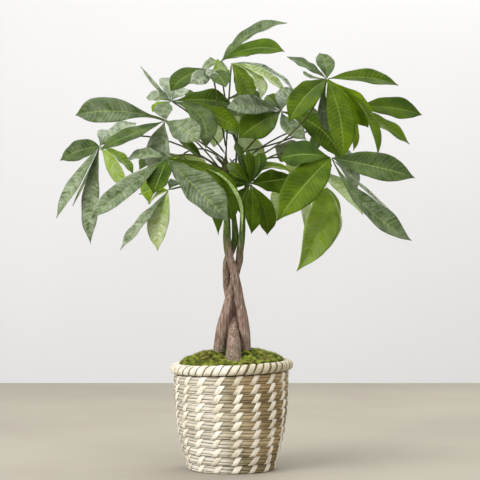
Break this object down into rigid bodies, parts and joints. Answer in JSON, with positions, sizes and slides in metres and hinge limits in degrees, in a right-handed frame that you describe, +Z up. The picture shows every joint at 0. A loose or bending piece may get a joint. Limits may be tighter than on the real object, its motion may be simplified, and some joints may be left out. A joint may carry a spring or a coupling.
{
  "type": "potted money tree",
  "caption": "Money tree with a plaited trunk and drooping palmate leaves, growing from moss in a coiled and stitched seagrass basket.",
  "frame": {"origin": "centre of the basket's flat underside, where it stands on the table", "axes": "+Z up along the trunk; -Y is the front that the picture shows, +X its right"},
  "size_m": [0.4964, 0.3754, 0.6024],
  "materials": {
    "seagrass": "dry twisted grass",
    "palm_strip": "smooth flat strip",
    "pot_plastic": "matte",
    "potting_soil": "loose and crumbly",
    "moss": "soft and matte",
    "bark": "rough bark",
    "leaf": "glossy leaf"
  },
  "bodies": {
    "root": {"basket_coil": "seagrass", "basket_stitching": "palm_strip", "grower_pot": "pot_plastic", "soil": "potting_soil", "moss": "moss", "stem_right": "bark", "stem_left": "bark", "stem_front": "bark", "leaf_a": "leaf", "leaf_b": "leaf", "leaf_c": "leaf", "leaf_d": "leaf", "leaf_e": "leaf", "leaf_f": "leaf", "leaf_g": "leaf", "leaf_h": "leaf", "leaf_i": "leaf", "leaf_j": "leaf", "leaf_m": "leaf", "leaf_n": "leaf", "leaf_o": "leaf", "leaf_p": "leaf", "leaf_q": "leaf", "leaf_r": "leaf", "leaf_s": "leaf", "leaf_t": "leaf", "leaf_u": "leaf", "leaf_v": "leaf"}
  },
  "joints": []
}
